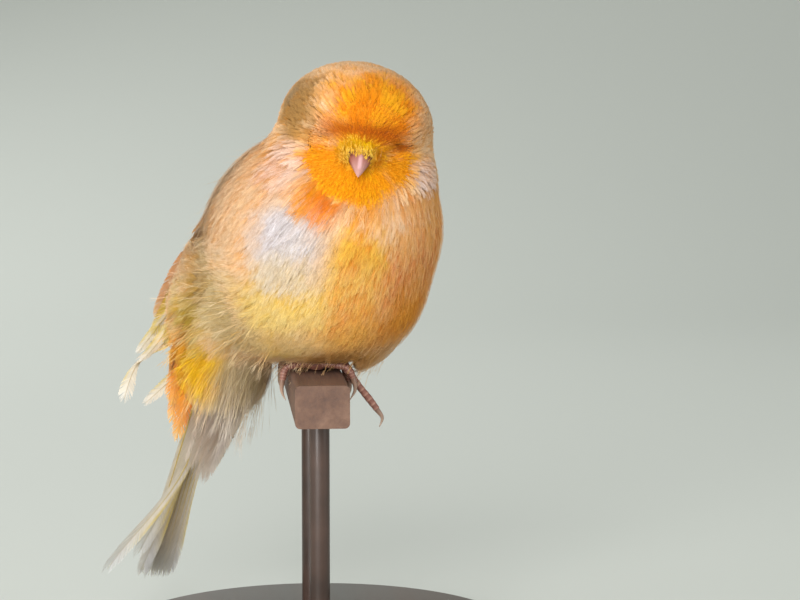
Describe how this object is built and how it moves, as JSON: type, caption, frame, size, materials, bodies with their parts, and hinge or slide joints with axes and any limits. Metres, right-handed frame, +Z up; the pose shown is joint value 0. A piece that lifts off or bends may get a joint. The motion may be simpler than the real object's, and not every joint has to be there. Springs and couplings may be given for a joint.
{
  "type": "canary",
  "caption": "Life-size still model of a sleeping apricot-orange canary, fluffed up and gripping a short square perch, held on a plain display stand",
  "frame": {"origin": "centre of the stand's flat underside", "axes": "+Z up; +Y back along the perch, away from the end the bird sits on; +X across the perch, to the right seen from that end"},
  "size_m": [0.0784, 0.076, 0.1095],
  "materials": {
    "plumage_face": "soft orange face feathers",
    "plumage_body": "soft peach body feathers",
    "flight_feathers": "smooth pale flight and tail feathers",
    "eyelid": "closed bare eyelids, matt",
    "bill": "pinkish horn, slightly glossy",
    "leg": "pinkish-brown scaled skin",
    "claw": "brown horn, glossy",
    "perch": "plain unfinished wood",
    "stand": "dark satin varnish"
  },
  "bodies": {
    "root": {"head": "plumage_face", "neck": "plumage_body", "torso": "plumage_body", "eye_left": "eyelid", "eye_right": "eyelid", "bill_upper": "bill", "bill_lower": "bill", "wing_left": "flight_feathers", "wing_right": "flight_feathers", "tail": "flight_feathers", "leg_left": "leg", "leg_right": "leg", "perch": "perch", "stand_base": "stand", "stand_rod_front": "stand", "stand_rod_back": "stand", "claw_left_hind": "claw", "claw_left_inner": "claw", "claw_left_middle": "claw", "claw_left_outer": "claw", "claw_right_hind": "claw", "claw_right_inner": "claw", "claw_right_middle": "claw", "claw_right_outer": "claw"}
  },
  "joints": []
}
